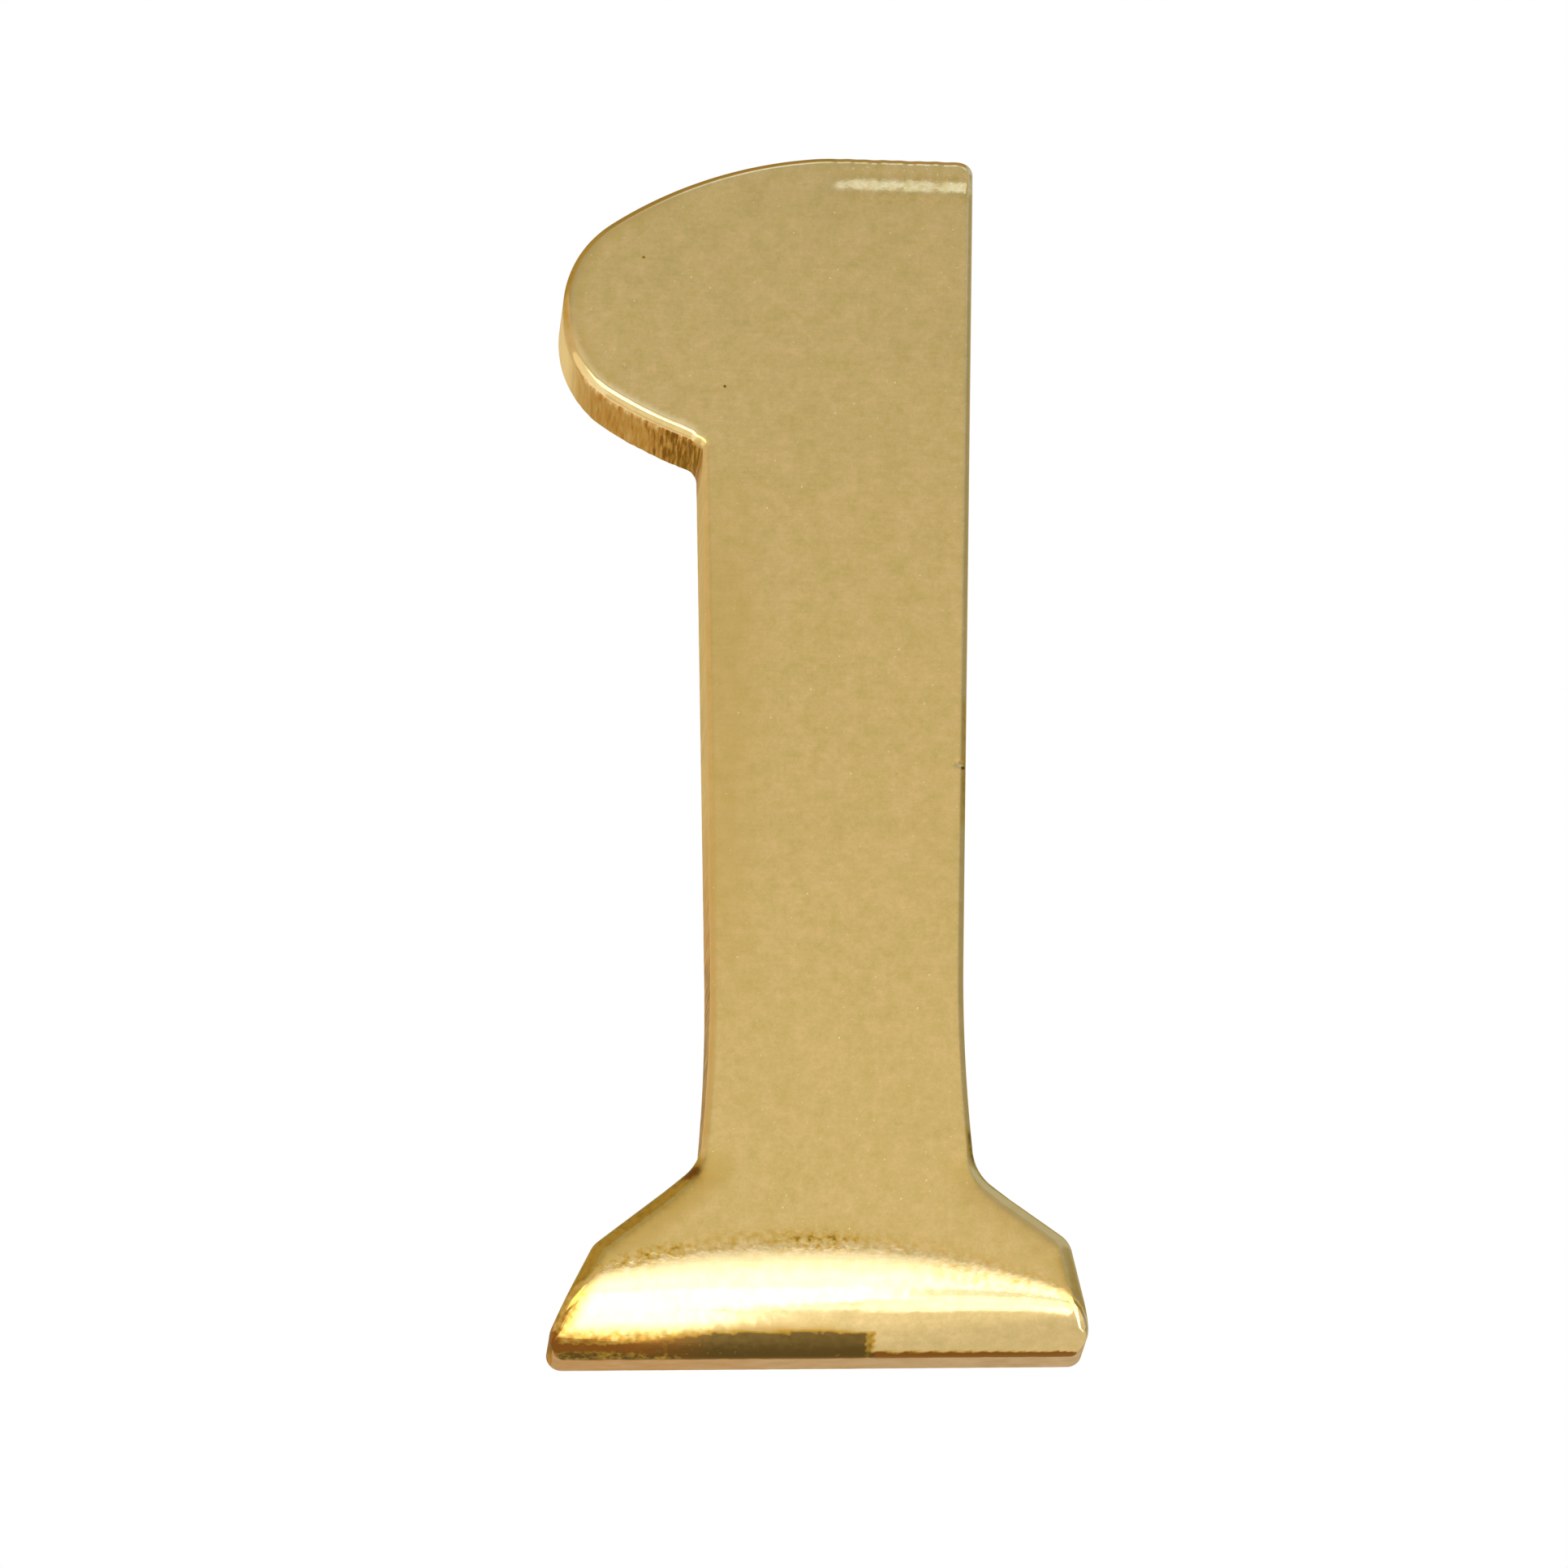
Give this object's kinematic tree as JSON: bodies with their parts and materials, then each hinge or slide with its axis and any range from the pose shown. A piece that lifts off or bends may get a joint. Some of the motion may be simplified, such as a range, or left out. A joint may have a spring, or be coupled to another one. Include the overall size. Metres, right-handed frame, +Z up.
{
  "type": "door number",
  "caption": "Solid cast brass numeral one for a door or gate post, with a rounded flag, waisted stem and shouldered foot, and a flat back with blind stud holes.",
  "frame": {"origin": "on the flat back face, on the stem axis, midway between the stud holes", "axes": "+Z up the stem, +Y out of the back towards the door, +X to the right as the numeral is read"},
  "size_m": [0.0313, 0.006, 0.0755],
  "materials": {
    "brass": "buffed, with an unpolished back and base lip"
  },
  "bodies": {
    "root": {"numeral_1": "brass"}
  },
  "joints": []
}
